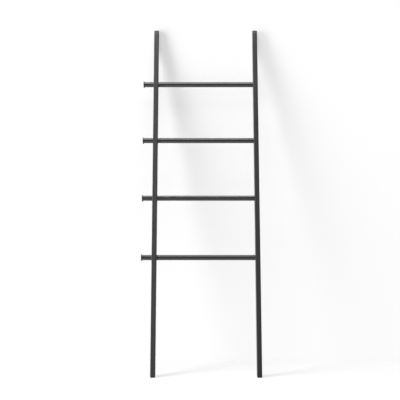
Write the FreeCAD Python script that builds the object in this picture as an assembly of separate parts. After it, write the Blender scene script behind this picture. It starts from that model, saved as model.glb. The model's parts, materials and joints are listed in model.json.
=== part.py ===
import FreeCAD, Part
import math
import os

# Leaning blanket ladder whose width can be set. Two wooden rails lean on the wall, and four
# round steel rungs join them. The rungs are bolted to the right rail. The left rail slides
# along them on plastic bushes, and a flanged cap in each rung's free end stops it.
# Millimetres. +X is to the right as seen from the front, +Y runs back to the wall, +Z is up.
# The origin is on the floor, at the centre of the whole ladder's width and depth.

# Rails
rail_length = 1702.0        # up the front face, from the floor to the top end
rail_width = 23.0
rail_depth = 38.0
rail_spacing = 490.0        # centre to centre, with the left rail where it is drawn
lean_angle = 12.0           # degrees off the vertical
long_edge_radius = 2.5
top_front_radius = 20.0
wall_facet_height = 50.0    # upright facet at the top of each rail's back

# Rungs
rung_count = 4
rung_pitch = 287.0          # along the rails
lowest_rung_height = 556.0  # up the rails, from the floor to the lowest rung's centre
rung_diameter = 25.0
rung_wall = 1.5
rung_seat_depth = 12.0      # blind socket in the right rail
rung_overhang = 45.0        # bare rung between the left rail and the end cap

# End caps: a flange against the rung's end, and a plug pressed into its bore
cap_diameter = 32.0
cap_thickness = 5.0
cap_plug_length = 14.0

# Threaded plugs pressed into the rungs' right ends
thread_diameter = 6.0
insert_length = 16.0

# Bolts that hold the rungs to the right rail
bolt_head_diameter = 14.0
bolt_head_height = 2.5
bolt_thread_grip = 12.0     # length screwed into the plug
bolt_key_size = 4.0         # across the flats of the hexagon socket
bolt_key_depth = 1.6
bolt_hole_clearance = 0.3   # radial, round the shank and the head
bolt_head_sink = 0.5        # how far the head lies below the rail's face

# Bushes that carry the sliding rail
bush_wall = 2.0
bush_running_clearance = 0.08   # radial, between a bush and its rung
bush_sink = 0.4                 # how far a bush lies inside each face of the rail

# Rubber pads
foot_thickness = 4.0
foot_inset = 1.0            # step from the rail's faces to the sole's
bumper_thickness = 3.0
bumper_side_margin = 0.5    # flat left beside the bumper
bumper_end_margin = 7.0     # facet left above and below the bumper
bumper_corner_radius = 2.0

level_tolerance = 0.01      # points closer than this along an axis count as level
key_sides = 6

# Worked out from the sizes above
lean_sin = math.sin(math.radians(lean_angle))
lean_cos = math.cos(math.radians(lean_angle))
rung_numbers = range(1, rung_count + 1)
rung_radius = rung_diameter / 2
rung_bore_radius = rung_radius - rung_wall
thread_radius = thread_diameter / 2
bush_bore_radius = rung_radius + bush_running_clearance
bush_outer_radius = bush_bore_radius + bush_wall

# Places across the width
overall_width = cap_thickness + rung_overhang + rail_spacing + rail_width
cap_face_x = -overall_width / 2
rung_left_x = cap_face_x + cap_thickness
left_rail_x = rung_left_x + rung_overhang + rail_width / 2
right_rail_x = left_rail_x + rail_spacing
right_outer_x = right_rail_x + rail_width / 2
rung_right_x = right_rail_x - rail_width / 2 + rung_seat_depth
bolt_seat_x = right_outer_x - bolt_head_sink - bolt_head_height

# Places through the depth, first from the line where the rails' front faces meet the floor
facet_top_behind = rail_depth - wall_facet_height * lean_sin
facet_from_front_line = rail_length * lean_sin + facet_top_behind * lean_cos
wall_from_front_line = facet_from_front_line + bumper_thickness
nearest_from_front_line = min(foot_inset / lean_cos, foot_thickness * lean_sin / lean_cos)
front_line_y = -(nearest_from_front_line + wall_from_front_line) / 2
facet_y = front_line_y + facet_from_front_line
wall_y = front_line_y + wall_from_front_line


def rail_point(x, along, behind):
    """Point of a rail: so far up its front face, and so far behind that face."""
    y = front_line_y + along * lean_sin + behind * lean_cos
    z = along * lean_cos - behind * lean_sin
    return FreeCAD.Vector(x, y, z)


def rail_point_at_height(x, z, behind):
    """Point of a rail at height z and so far behind its front face."""
    return rail_point(x, (z + behind * lean_sin) / lean_cos, behind)


def rung_centre(x, number):
    """Point at x on a rung's axis. Rung 1 is the highest."""
    along = lowest_rung_height + (rung_count - number) * rung_pitch
    return rail_point(x, along, rail_depth / 2)


def rod(x_start, x_end, radius, number):
    """Round bar along a rung's axis."""
    axis = FreeCAD.Vector(1, 0, 0)
    return Part.makeCylinder(radius, x_end - x_start, rung_centre(x_start, number), axis)


def sleeve(x_start, x_end, outer_radius, bore_radius, number):
    """Round tube along a rung's axis."""
    return rod(x_start, x_end, outer_radius, number).cut(rod(x_start, x_end, bore_radius, number))


def rail_outline(x):
    """Side outline of a rail: level foot, rounded top front edge, upright facet at the back."""
    foot_front = rail_point_at_height(x, foot_thickness, 0)
    foot_back = rail_point_at_height(x, foot_thickness, rail_depth)
    facet_low = rail_point(x, rail_length - wall_facet_height * lean_cos, rail_depth)
    facet_high = rail_point(x, rail_length, facet_top_behind)
    bulge = top_front_radius * (1 - math.sqrt(0.5))
    arc_back = rail_point(x, rail_length, top_front_radius)
    arc_middle = rail_point(x, rail_length - bulge, bulge)
    arc_front = rail_point(x, rail_length - top_front_radius, 0)
    edges = [
        Part.makeLine(foot_front, foot_back),
        Part.makeLine(foot_back, facet_low),
        Part.makeLine(facet_low, facet_high),
        Part.makeLine(facet_high, arc_back),
        Part.Arc(arc_back, arc_middle, arc_front).toShape(),
        Part.makeLine(arc_front, foot_front),
    ]
    return Part.Face(Part.Wire(edges))


def is_rounded_edge(edge):
    """Edges round the rail's two sides are rounded, but not those at its foot."""
    box = edge.BoundBox
    lies_in_a_side = box.XLength < level_tolerance
    at_the_foot = box.ZMax < foot_thickness + level_tolerance
    return lies_in_a_side and not at_the_foot


def rail_blank(x):
    """A rail before its holes are drilled."""
    outline = rail_outline(x - rail_width / 2)
    blank = outline.extrude(FreeCAD.Vector(rail_width, 0, 0))
    return blank.makeFillet(long_edge_radius, [e for e in blank.Edges if is_rounded_edge(e)])


def left_rail():
    """The sliding rail, drilled through for the bushes."""
    low_x = left_rail_x - rail_width / 2
    high_x = left_rail_x + rail_width / 2
    holes = [rod(low_x, high_x, bush_outer_radius, number) for number in rung_numbers]
    return rail_blank(left_rail_x).cut(holes)


def right_rail():
    """The fixed rail, with a blind socket, a shank hole and a head recess for every rung."""
    cuts = []
    for number in rung_numbers:
        socket_mouth_x = right_rail_x - rail_width / 2
        head_radius = bolt_head_diameter / 2 + bolt_hole_clearance
        shank_radius = thread_radius + bolt_hole_clearance
        cuts.append(rod(socket_mouth_x, rung_right_x, rung_radius, number))
        cuts.append(rod(rung_right_x, bolt_seat_x, shank_radius, number))
        cuts.append(rod(bolt_seat_x, right_outer_x, head_radius, number))
    return rail_blank(right_rail_x).cut(cuts)


def rung(number):
    """Steel tube from the end cap to the bottom of the right rail's socket."""
    return sleeve(rung_left_x, rung_right_x, rung_radius, rung_bore_radius, number)


def end_cap(number):
    """Flange that stops the sliding rail, with a plug pressed into the rung's free end."""
    flange = rod(cap_face_x, rung_left_x, cap_diameter / 2, number)
    plug = rod(rung_left_x, rung_left_x + cap_plug_length, rung_bore_radius, number)
    return flange.fuse(plug)


def rung_insert(number):
    """Threaded plug in a rung's right end."""
    x_start = rung_right_x - insert_length
    return sleeve(x_start, rung_right_x, rung_bore_radius, thread_radius, number)


def rung_bolt(number):
    """Low-headed bolt through the right rail into the rung's plug."""
    head_x = bolt_seat_x + bolt_head_height
    head = rod(bolt_seat_x, head_x, bolt_head_diameter / 2, number)
    shank = rod(rung_right_x - bolt_thread_grip, bolt_seat_x, thread_radius, number)
    return head.fuse(shank).cut(key_socket(head_x, number))


def key_socket(head_x, number):
    """Hexagon that a key fits, cut from a bolt's head inwards."""
    centre = rung_centre(head_x - bolt_key_depth, number)
    corner_radius = bolt_key_size / 2 / math.cos(math.pi / key_sides)
    corners = []
    for side in range(key_sides):
        turn = 2 * math.pi * side / key_sides
        corners.append(centre + FreeCAD.Vector(0, math.cos(turn), math.sin(turn)) * corner_radius)
    hexagon = Part.Face(Part.makePolygon(corners + corners[:1]))
    return hexagon.extrude(FreeCAD.Vector(bolt_key_depth, 0, 0))


def slide_bush(number):
    """Plain sleeve pressed into the left rail, in which a rung runs."""
    x_start = left_rail_x - rail_width / 2 + bush_sink
    x_end = left_rail_x + rail_width / 2 - bush_sink
    return sleeve(x_start, x_end, bush_outer_radius, bush_bore_radius, number)


def foot_pad(rail_x):
    """Sole cut from rubber sheet. It carries on the rail's slant and ends level with the floor."""
    x_start = rail_x - rail_width / 2 + foot_inset
    front = foot_inset
    back = rail_depth - foot_inset
    corners = [
        rail_point_at_height(x_start, 0, front),
        rail_point_at_height(x_start, 0, back),
        rail_point_at_height(x_start, foot_thickness, back),
        rail_point_at_height(x_start, foot_thickness, front),
    ]
    outline = Part.Face(Part.makePolygon(corners + corners[:1]))
    return outline.extrude(FreeCAD.Vector(rail_width - 2 * foot_inset, 0, 0))


def wall_bumper(rail_x):
    """Rubber pad on the upright facet at the top of a rail's back."""
    width = rail_width - 2 * (long_edge_radius + bumper_side_margin)
    height = wall_facet_height - 2 * bumper_end_margin
    low_z = rail_point(0, rail_length, facet_top_behind).z - bumper_end_margin - height
    corner = FreeCAD.Vector(rail_x - width / 2, facet_y, low_z)
    pad = Part.makeBox(width, bumper_thickness, height, corner)
    through = [e for e in pad.Edges if e.BoundBox.YLength > level_tolerance]
    return pad.makeFillet(bumper_corner_radius, through)


def build():
    """Every piece by name."""
    pieces = {
        "left_rail": left_rail(),
        "right_rail": right_rail(),
        "left_foot_pad": foot_pad(left_rail_x),
        "right_foot_pad": foot_pad(right_rail_x),
        "left_wall_bumper": wall_bumper(left_rail_x),
        "right_wall_bumper": wall_bumper(right_rail_x),
        "rung_inserts": Part.makeCompound([rung_insert(number) for number in rung_numbers]),
        "slide_bushes": Part.makeCompound([slide_bush(number) for number in rung_numbers]),
    }
    for number in rung_numbers:
        pieces["rung_%d" % number] = rung(number)
        pieces["end_cap_%d" % number] = end_cap(number)
        pieces["rung_bolt_%d" % number] = rung_bolt(number)
    return pieces


os.makedirs("parts", exist_ok=True)
for name, shape in build().items():
    shape.exportStep("parts/%s.step" % name)
    print("%-18s %9.1f mm3  %s  %d solid" % (name, shape.Volume, shape.isValid(), len(shape.Solids)))
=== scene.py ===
import itertools
import json
import math

import bpy
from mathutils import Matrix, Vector


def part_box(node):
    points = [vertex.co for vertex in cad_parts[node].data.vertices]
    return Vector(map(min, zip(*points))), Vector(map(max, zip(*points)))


# Dresses the leaning blanket ladder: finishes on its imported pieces, a white corner of a room,
# lamps and the camera. Metres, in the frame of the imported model.

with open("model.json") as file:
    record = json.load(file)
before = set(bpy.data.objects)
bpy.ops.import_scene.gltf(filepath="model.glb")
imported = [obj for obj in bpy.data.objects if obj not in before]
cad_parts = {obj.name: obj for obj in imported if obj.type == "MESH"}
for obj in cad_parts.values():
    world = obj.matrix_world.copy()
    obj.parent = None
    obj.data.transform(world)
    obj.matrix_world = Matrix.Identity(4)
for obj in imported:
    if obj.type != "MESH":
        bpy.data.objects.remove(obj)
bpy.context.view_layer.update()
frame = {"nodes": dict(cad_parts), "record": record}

# Camera, fitted to the photograph's rails and rungs
CAMERA_PLACE = (-0.0032, -3.960, 0.812)
CAMERA_LENS = 74.28
CAMERA_SENSOR = 36.0
CAMERA_TURN = (math.radians(90.0), 0.0, 0.0)    # level, facing the wall

# Sizes that the finishes follow
LEAN = math.radians(12.0)       # rails off the vertical
CAP_SIDE = 0.032                # box of an end cap, across its flange
BOLT_SIDE = 0.014               # box of a bolt, across its head
CAP_RING_PITCH = 0.0008
PLUG_RING_PITCH = 0.0006
BOLT_RING_PITCH = 0.0004
RUBBER_RIB_PITCH = 0.0024
WAVE_SPACING = math.pi / 10     # from one ring or band of a wave texture to the next, at scale 1
EDGE_SAMPLES = 6                # rays that look for a sharp edge

# Colours, linear
WHITE = (1.0, 1.0, 1.0, 1.0)
WOOD_DARK = (0.0420, 0.0418, 0.0416)
WOOD_LIGHT = (0.0560, 0.0557, 0.0554)
WOOD_RUBBED = (0.095, 0.092, 0.088)
COAT_GREY = 0.022
COAT_CHIPPED = (0.16, 0.16, 0.165)
NYLON_DARK = 0.018
NYLON_LIGHT = 0.030
RUBBER_DUST = (0.11, 0.108, 0.10)

# Roughness and specular level
WOOD_ROUGHNESS = 0.32
WOOD_SPECULAR = 0.22
COAT_ROUGHNESS = 0.16
COAT_SPECULAR = 0.7
RUBBER_SPECULAR = 0.3

# Corners broken a little, as the real pieces' are: by so much, on the nodes with such names
BROKEN_CORNERS = {"end_cap": 0.0007, "rung_bolt": 0.0003, "foot_pad": 0.0005, "wall_bumper": 0.0006}
CORNER_SEGMENTS = 2
CORNER_ANGLE = math.radians(40.0)   # an edge that turns more than this is a corner
JOINED_WITHIN = 0.00001             # vertices so near each other become one
FLAT_FACES_FIRST = 100              # how much large faces set the shading of small ones

# Light: each lamp's place, what it faces, its width and height, and its power
LAMPS = {
    "key": ((-1.9, -1.1, 1.4), (0.0, -0.8, 1.1), 0.95, 2.6, 92.0),
    "overhead": ((-0.1, -0.75, 3.1), (-0.05, 0.0, 0.9), 1.2, 1.2, 31.0),
}
LAMP_POINTS = 3         # for the backdrop a lamp counts as so many points each way
WORLD_FRONT = 0.02      # the room's own light, from in front and from the sides
WORLD_SIDES = 0.6
SIDES_FROM = 0.7        # sideways part of a direction where the sides set in

# Room
CLEAR = 0.0002          # it stands so far off what touches it
FLOOR_Z = -CLEAR
WALL_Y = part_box("left_wall_bumper")[1].y + CLEAR
ROOM_HALF_WIDTH = 8.0
ROOM_FRONT = -10.0
ROOM_HEIGHT = 6.0
ROOM_WHITE = 0.38       # what the room gives back of the light on it, apart from its glow
WALL_AMBIENT = (0.062, 0.04)    # light on the wall that comes from no lamp, at two heights
AMBIENT_HEIGHTS = (0.6, 1.6)
FLOOR_SHORT = 0.012     # the floor gets so much less of it than the foot of the wall


# Node helpers

def feed(tree, value, socket):
    """Gives an input another node's output, or a constant."""
    if isinstance(value, bpy.types.NodeSocket):
        tree.links.new(value, socket)
    else:
        socket.default_value = value


def add(tree, kind, values=None, **settings):
    """Node of a kind, with its settings and what goes into its inputs."""
    node = tree.nodes.new(kind)
    for key, value in settings.items():
        setattr(node, key, value)
    for key, value in (values or {}).items():
        feed(tree, value, node.inputs[key])
    return node


def arithmetic(tree, operation, first, second):
    """One sum, product or comparison of two sources or numbers."""
    node = add(tree, "ShaderNodeMath", {0: first, 1: second}, operation=operation)
    return node.outputs["Value"]


def dot_product(tree, first, second):
    """How far two directions agree."""
    node = add(tree, "ShaderNodeVectorMath", {0: first, 1: second}, operation="DOT_PRODUCT")
    return node.outputs["Value"]


def part_along(tree, direction, axis):
    """One axis's part of a place or direction."""
    return add(tree, "ShaderNodeSeparateXYZ", {0: direction}).outputs[axis]


def surface_place(tree, draw_out=(1, 1, 1), turn=0.0):
    """Place on the piece in metres, turned about X and then drawn out so many times each way."""
    place = add(tree, "ShaderNodeTexCoord").outputs["Object"]
    turned = add(tree, "ShaderNodeVectorRotate", {"Vector": place, "Angle": turn},
                 rotation_type="X_AXIS")
    scale = [1 / times for times in draw_out]
    return add(tree, "ShaderNodeMapping", {"Vector": turned.outputs[0], "Scale": scale}).outputs[0]


def noise(tree, place, scale, detail=3.0, roughness=0.5, distortion=0.0):
    """Grey noise from 0 to 1."""
    node = add(tree, "ShaderNodeTexNoise", {
        "Vector": place, "Scale": scale, "Detail": detail, "Roughness": roughness,
        "Distortion": distortion})
    return node.outputs["Fac"]


def spread(tree, source, low, high, source_low=0.3, source_high=0.7):
    """A source's middle range stretched to run from low to high."""
    node = add(tree, "ShaderNodeMapRange", {
        "Value": source, "From Min": source_low, "From Max": source_high,
        "To Min": low, "To Max": high})
    return node.outputs["Result"]


def tones(tree, source, dark, light, source_low=0.3, source_high=0.7):
    """Two greys or colours laid over a source's middle range."""
    node = add(tree, "ShaderNodeValToRGB", {"Fac": source})
    stops = ((source_low, dark), (source_high, light))
    for element, (position, colour) in zip(node.color_ramp.elements, stops):
        element.position = position
        element.color = (*colour, 1) if isinstance(colour, tuple) else (colour, colour, colour, 1)
    return node.outputs["Color"]


def blend_colour(tree, share, first, second):
    """First colour where the share is 0, and an even second colour where it is 1."""
    node = add(tree, "ShaderNodeMix", {"Factor": share, "A": first, "B": (*second, 1)},
               data_type="RGBA")
    return node.outputs["Result"]


# Features of a surface

def new_material(name):
    """Material with a Principled shader: its node tree, and the shader."""
    material = bpy.data.materials.new(name)
    material.use_nodes = True
    return material, material.node_tree, material.node_tree.nodes["Principled BSDF"]


def bump(tree, shader, height, depth, strength):
    """Relief of that depth in metres on the shader's surface."""
    node = add(tree, "ShaderNodeBump", {"Height": height, "Strength": strength, "Distance": depth})
    feed(tree, node.outputs["Normal"], shader.inputs["Normal"])


def with_relief(tree, main, second, share):
    """A main relief, with a share of a second one on it."""
    return arithmetic(tree, "ADD", main, arithmetic(tree, "MULTIPLY", second, share))


def rounded_edges(tree):
    """1 in the middle of a rounding between a side face and another face, 0 on the flats."""
    normal = add(tree, "ShaderNodeTexCoord").outputs["Normal"]
    along_x = part_along(tree, normal, "X")
    sideways = arithmetic(tree, "MULTIPLY", along_x, along_x)
    other = arithmetic(tree, "SUBTRACT", 1.0, sideways)
    return arithmetic(tree, "MULTIPLY", arithmetic(tree, "MULTIPLY", sideways, other), 4.0)


def sharp_edges(tree, radius):
    """1 at a sharp edge, falling to 0 at that distance from it."""
    rounded = add(tree, "ShaderNodeBevel", {"Radius": radius}, samples=EDGE_SAMPLES).outputs[0]
    normal = add(tree, "ShaderNodeNewGeometry").outputs["Normal"]
    return spread(tree, dot_product(tree, rounded, normal), low=1.0, high=0.0,
                  source_low=0.80, source_high=0.99)


def turned_rings(tree, box_side, pitch):
    """Fine rings round the X axis through the middle of a piece, from 0 to 1."""
    place = add(tree, "ShaderNodeTexCoord").outputs["Generated"]
    centred = add(tree, "ShaderNodeMapping", {
        "Vector": place, "Location": [-box_side / 2] * 3, "Scale": [box_side] * 3})
    rings = add(tree, "ShaderNodeTexWave", {
        "Vector": centred.outputs[0], "Scale": WAVE_SPACING / pitch, "Distortion": 0.6,
        "Detail": 1.0}, wave_type="RINGS", rings_direction="X")
    return rings.outputs["Fac"]


def worn(tree, where, place, scale, most):
    """Patchy wear, at most so much, where a mask lets it."""
    patches = noise(tree, place, scale, detail=5.0, roughness=0.65)
    strength = spread(tree, patches, low=0.0, high=most, source_low=0.42, source_high=0.68)
    return arithmetic(tree, "MULTIPLY", where, strength)


# Finishes

def painted_wood():
    """Charcoal paint, satin, over wood: the grain shows in it, and the edges are a little rubbed."""
    material, tree, shader = new_material("painted_wood")
    grain = surface_place(tree, draw_out=(1, 1, 40), turn=LEAN)
    brush_strokes = surface_place(tree, draw_out=(1, 1, 12), turn=LEAN)
    everywhere = surface_place(tree)

    figure = noise(tree, grain, scale=70.0, distortion=1.5)
    mottle = noise(tree, everywhere, scale=14.0, detail=4.0, roughness=0.55)
    tone = arithmetic(tree, "ADD", arithmetic(tree, "MULTIPLY", figure, 0.55),
                      arithmetic(tree, "MULTIPLY", mottle, 0.45))
    paint = tones(tree, tone, WOOD_DARK, WOOD_LIGHT, source_low=0.32, source_high=0.68)
    rubbed = worn(tree, rounded_edges(tree), everywhere, scale=55.0, most=0.35)
    feed(tree, blend_colour(tree, rubbed, paint, WOOD_RUBBED), shader.inputs["Base Color"])

    pores = noise(tree, grain, scale=520.0, detail=6.0, roughness=0.65, distortion=0.4)
    sheen = spread(tree, pores, WOOD_ROUGHNESS - 0.03, WOOD_ROUGHNESS + 0.05)
    polish = arithmetic(tree, "MULTIPLY", rubbed, 0.15)
    feed(tree, arithmetic(tree, "SUBTRACT", sheen, polish), shader.inputs["Roughness"])
    feed(tree, WOOD_SPECULAR, shader.inputs["Specular IOR Level"])

    brushed = noise(tree, brush_strokes, scale=900.0, detail=2.0)
    bump(tree, shader, with_relief(tree, pores, brushed, share=0.3), depth=0.00018, strength=0.7)
    return material


def powder_coat(name, ring_pitch=None):
    """Black powder coat on steel, satin, with its fine orange peel and the marks of handling.
    A ring pitch is for a cap, which shows how its flange was turned."""
    material, tree, shader = new_material(name)
    everywhere = surface_place(tree)

    handling = noise(tree, surface_place(tree, draw_out=(8, 1, 1)), scale=45.0, detail=5.0,
                     roughness=0.6)
    coat = tones(tree, handling, COAT_GREY * 0.85, COAT_GREY * 1.15)
    chipped = worn(tree, sharp_edges(tree, radius=0.0008), everywhere, scale=300.0, most=0.5)
    feed(tree, blend_colour(tree, chipped, coat, COAT_CHIPPED), shader.inputs["Base Color"])
    feed(tree, spread(tree, handling, COAT_ROUGHNESS - 0.03, COAT_ROUGHNESS + 0.05),
         shader.inputs["Roughness"])
    feed(tree, COAT_SPECULAR, shader.inputs["Specular IOR Level"])

    relief = noise(tree, everywhere, scale=750.0, roughness=0.55)
    if ring_pitch:
        relief = with_relief(tree, relief, turned_rings(tree, CAP_SIDE, ring_pitch), share=0.6)
    bump(tree, shader, relief, depth=0.00005, strength=0.5)
    return material


def machined_steel(name, grey, worn_grey, roughness, box_side, ring_pitch):
    """Turned steel under a thin finish, with its tool marks, and brighter at its edges."""
    material, tree, shader = new_material(name)
    everywhere = surface_place(tree)

    clouds = noise(tree, everywhere, scale=260.0, detail=5.0, roughness=0.6)
    finish = tones(tree, clouds, grey * 0.8, grey * 1.2)
    bright = worn(tree, sharp_edges(tree, radius=0.0005), everywhere, scale=500.0, most=0.8)
    feed(tree, blend_colour(tree, bright, finish, [worn_grey] * 3), shader.inputs["Base Color"])
    feed(tree, spread(tree, clouds, roughness - 0.06, roughness + 0.08), shader.inputs["Roughness"])
    feed(tree, 1.0, shader.inputs["Metallic"])

    bump(tree, shader, turned_rings(tree, box_side, ring_pitch), depth=0.00003, strength=0.5)
    return material


def moulded_nylon():
    """Black nylon of the bushes, dull, with flow marks."""
    material, tree, shader = new_material("bush_plastic")
    flow = noise(tree, surface_place(tree, draw_out=(6, 1, 1)), scale=220.0, distortion=0.8)
    feed(tree, tones(tree, flow, NYLON_DARK, NYLON_LIGHT), shader.inputs["Base Color"])
    feed(tree, spread(tree, flow, low=0.36, high=0.52), shader.inputs["Roughness"])
    skin = noise(tree, surface_place(tree), scale=1600.0, detail=2.0)
    bump(tree, shader, skin, depth=0.00003, strength=0.4)
    return material


def moulded_rubber(name, grey, rib_direction):
    """Matt black rubber with fine moulded ribs, a bloom and a little dust."""
    material, tree, shader = new_material(name)
    everywhere = surface_place(tree)

    bloom = noise(tree, everywhere, scale=90.0, detail=5.0, roughness=0.65)
    rubber = tones(tree, bloom, grey * 0.8, grey * 1.5, source_high=0.72)
    dust = noise(tree, everywhere, scale=1400.0, roughness=0.7)
    dusty = spread(tree, dust, low=0.0, high=0.35, source_low=0.60, source_high=0.75)
    feed(tree, blend_colour(tree, dusty, rubber, RUBBER_DUST), shader.inputs["Base Color"])
    feed(tree, spread(tree, bloom, low=0.72, high=0.9), shader.inputs["Roughness"])
    feed(tree, RUBBER_SPECULAR, shader.inputs["Specular IOR Level"])

    ribs = add(tree, "ShaderNodeTexWave", {
        "Vector": everywhere, "Scale": WAVE_SPACING / RUBBER_RIB_PITCH},
        wave_type="BANDS", bands_direction=rib_direction)
    bump(tree, shader, with_relief(tree, ribs.outputs["Fac"], dust, share=0.2),
         depth=0.0003, strength=0.6)
    return material


FINISHES = {
    "painted_wood": painted_wood(),
    "coated_steel": powder_coat("coated_steel"),
    "cap_coat": powder_coat("cap_coat", CAP_RING_PITCH),
    "plug_steel": machined_steel("plug_steel", grey=0.55, worn_grey=0.8, roughness=0.30,
                                 box_side=CAP_SIDE, ring_pitch=PLUG_RING_PITCH),
    "bolt_steel": machined_steel("bolt_steel", grey=0.09, worn_grey=0.35, roughness=0.36,
                                 box_side=BOLT_SIDE, ring_pitch=BOLT_RING_PITCH),
    "bush_plastic": moulded_nylon(),
    "foot_rubber": moulded_rubber("foot_rubber", grey=0.018, rib_direction="Y"),
    "bumper_rubber": moulded_rubber("bumper_rubber", grey=0.022, rib_direction="Z"),
}

for part in frame["record"]["subparts"]:
    node = frame["nodes"][part["node"]]
    node.data.materials.clear()
    node.data.materials.append(FINISHES[part["material_slot"]])


# Corners

def break_corners(node, width):
    """Small rounding on a node's sharp edges, which are joined up first."""
    node.modifiers.new("joined_faces", "WELD").merge_threshold = JOINED_WITHIN
    bevel = node.modifiers.new("broken_corners", "BEVEL")
    bevel.width = width
    bevel.segments = CORNER_SEGMENTS
    bevel.limit_method = "ANGLE"
    bevel.angle_limit = CORNER_ANGLE
    node.modifiers.new("even_shading", "WEIGHTED_NORMAL").weight = FLAT_FACES_FIRST


for name, node in frame["nodes"].items():
    for kind, width in BROKEN_CORNERS.items():
        if kind in name:
            break_corners(node, width)


# Light

def put_in_scene(name, data):
    """Object that holds a lamp, a camera or a mesh."""
    item = bpy.data.objects.new(name, data)
    bpy.context.scene.collection.objects.link(item)
    return item


def area_lamp(name, place, aim, width, height, watts):
    """Rectangular lamp at a place, facing aim."""
    data = bpy.data.lights.new(name, "AREA")
    data.shape = "RECTANGLE"
    data.size = width
    data.size_y = height
    data.energy = watts
    lamp = put_in_scene(name, data)
    lamp.location = place
    lamp.rotation_euler = (Vector(aim) - Vector(place)).to_track_quat("-Z", "Y").to_euler()


def room_light():
    """World that lights the object mostly from the sides, and is white to the camera."""
    world = bpy.data.worlds.new("room_light")
    world.use_nodes = True
    tree = world.node_tree
    tree.nodes.clear()
    direction = add(tree, "ShaderNodeTexCoord").outputs["Generated"]
    sideways = arithmetic(tree, "ABSOLUTE", part_along(tree, direction, "X"), 0.0)
    strength = spread(tree, sideways, WORLD_FRONT, WORLD_SIDES, source_low=SIDES_FROM, source_high=1.0)
    light = add(tree, "ShaderNodeBackground", {"Color": WHITE, "Strength": strength})
    seen = add(tree, "ShaderNodeBackground", {"Color": WHITE, "Strength": 1.0})
    by_camera = add(tree, "ShaderNodeLightPath").outputs["Is Camera Ray"]
    mix = add(tree, "ShaderNodeMixShader", {0: by_camera, 1: light.outputs[0], 2: seen.outputs[0]})
    add(tree, "ShaderNodeOutputWorld", {0: mix.outputs[0]})
    return world


for name, settings in LAMPS.items():
    area_lamp(name, *settings)
bpy.context.scene.world = room_light()


# Room

def lamp_light(tree):
    """What the lamps and the room would give each point of the floor and the wall with nothing
    in their way, as its radiance. Every lamp is taken as a grid of points."""
    geometry = add(tree, "ShaderNodeNewGeometry")
    position = geometry.outputs["Position"]
    normal = geometry.outputs["Normal"]
    wall_ambient = spread(tree, part_along(tree, position, "Z"), *WALL_AMBIENT, *AMBIENT_HEIGHTS)
    floor_short = arithmetic(tree, "MULTIPLY", part_along(tree, normal, "Z"), FLOOR_SHORT)
    total = arithmetic(tree, "SUBTRACT", wall_ambient, floor_short)

    steps = [(index + 0.5) / LAMP_POINTS - 0.5 for index in range(LAMP_POINTS)]
    for place, aim, width, height, watts in LAMPS.values():
        facing = (Vector(aim) - Vector(place)).normalized()
        turn = facing.to_track_quat("-Z", "Y")
        power = watts / LAMP_POINTS ** 2 / math.pi ** 2 * ROOM_WHITE
        for across, up in itertools.product(steps, steps):
            point = Vector(place) + turn @ Vector((across * width, up * height, 0))
            to_lamp = add(tree, "ShaderNodeVectorMath", {0: point, 1: position},
                          operation="SUBTRACT").outputs[0]
            towards_lamp, lamp_towards, squared = [
                arithmetic(tree, "MAXIMUM", dot_product(tree, to_lamp, other), 0.0)
                for other in (normal, -facing, to_lamp)]
            towards = arithmetic(tree, "MULTIPLY", towards_lamp, lamp_towards)
            falloff = arithmetic(tree, "MULTIPLY", squared, squared)
            share = arithmetic(tree, "DIVIDE", towards, falloff)
            total = arithmetic(tree, "ADD", arithmetic(tree, "MULTIPLY", share, power), total)
    return total


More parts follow.
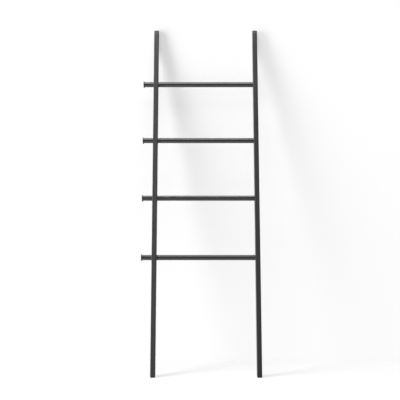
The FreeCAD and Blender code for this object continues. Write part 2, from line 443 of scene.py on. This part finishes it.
def backdrop():
    """Pale finish seen from one side. To the camera it is plain white with the object's shadow:
    some of the lamps' light, and a glow that makes up what the lamps leave short of white."""
    material = bpy.data.materials.new("white_room")
    material.use_nodes = True
    tree = material.node_tree
    tree.nodes.clear()
    diffuse = add(tree, "ShaderNodeBsdfDiffuse", {"Color": (ROOM_WHITE, ROOM_WHITE, ROOM_WHITE, 1)})
    short = arithmetic(tree, "SUBTRACT", 1.0, lamp_light(tree))
    glow = add(tree, "ShaderNodeEmission", {
        "Color": WHITE, "Strength": arithmetic(tree, "MAXIMUM", short, 0.0)})
    shown = add(tree, "ShaderNodeAddShader", {0: diffuse.outputs[0], 1: glow.outputs[0]})

    path = add(tree, "ShaderNodeLightPath")
    seen = path.outputs["Is Camera Ray"]
    for ray in ("Is Glossy Ray", "Is Transmission Ray"):
        seen = arithmetic(tree, "MAXIMUM", seen, path.outputs[ray])
    by_ray = add(tree, "ShaderNodeMixShader", {0: seen, 1: diffuse.outputs[0], 2: shown.outputs[0]})

    from_behind = add(tree, "ShaderNodeNewGeometry").outputs["Backfacing"]
    clear = add(tree, "ShaderNodeBsdfTransparent")
    by_side = add(tree, "ShaderNodeMixShader", {
        0: from_behind, 1: by_ray.outputs[0], 2: clear.outputs[0]})
    add(tree, "ShaderNodeOutputMaterial", {0: by_side.outputs[0]})
    return material


def room_sheet(name, corners, material):
    """Four-cornered flat sheet of the room."""
    mesh = bpy.data.meshes.new(name)
    mesh.from_pydata(corners, [], [(0, 1, 2, 3)])
    mesh.materials.append(material)
    sheet = put_in_scene(name, mesh)


white = backdrop()
front_left = (-ROOM_HALF_WIDTH, ROOM_FRONT, FLOOR_Z)
front_right = (ROOM_HALF_WIDTH, ROOM_FRONT, FLOOR_Z)
low_left = (-ROOM_HALF_WIDTH, WALL_Y, FLOOR_Z)
low_right = (ROOM_HALF_WIDTH, WALL_Y, FLOOR_Z)
high_left = (-ROOM_HALF_WIDTH, WALL_Y, ROOM_HEIGHT)
high_right = (ROOM_HALF_WIDTH, WALL_Y, ROOM_HEIGHT)
room_sheet("floor", [front_left, front_right, low_right, low_left], white)
room_sheet("wall", [low_left, low_right, high_right, high_left], white)


# Camera

camera_data = bpy.data.cameras.new("camera")
camera_data.lens = CAMERA_LENS
camera_data.sensor_width = CAMERA_SENSOR
camera = put_in_scene("camera", camera_data)
camera.location = CAMERA_PLACE
camera.rotation_euler = CAMERA_TURN
bpy.context.scene.camera = camera

bpy.context.scene.view_settings.view_transform = "Standard"
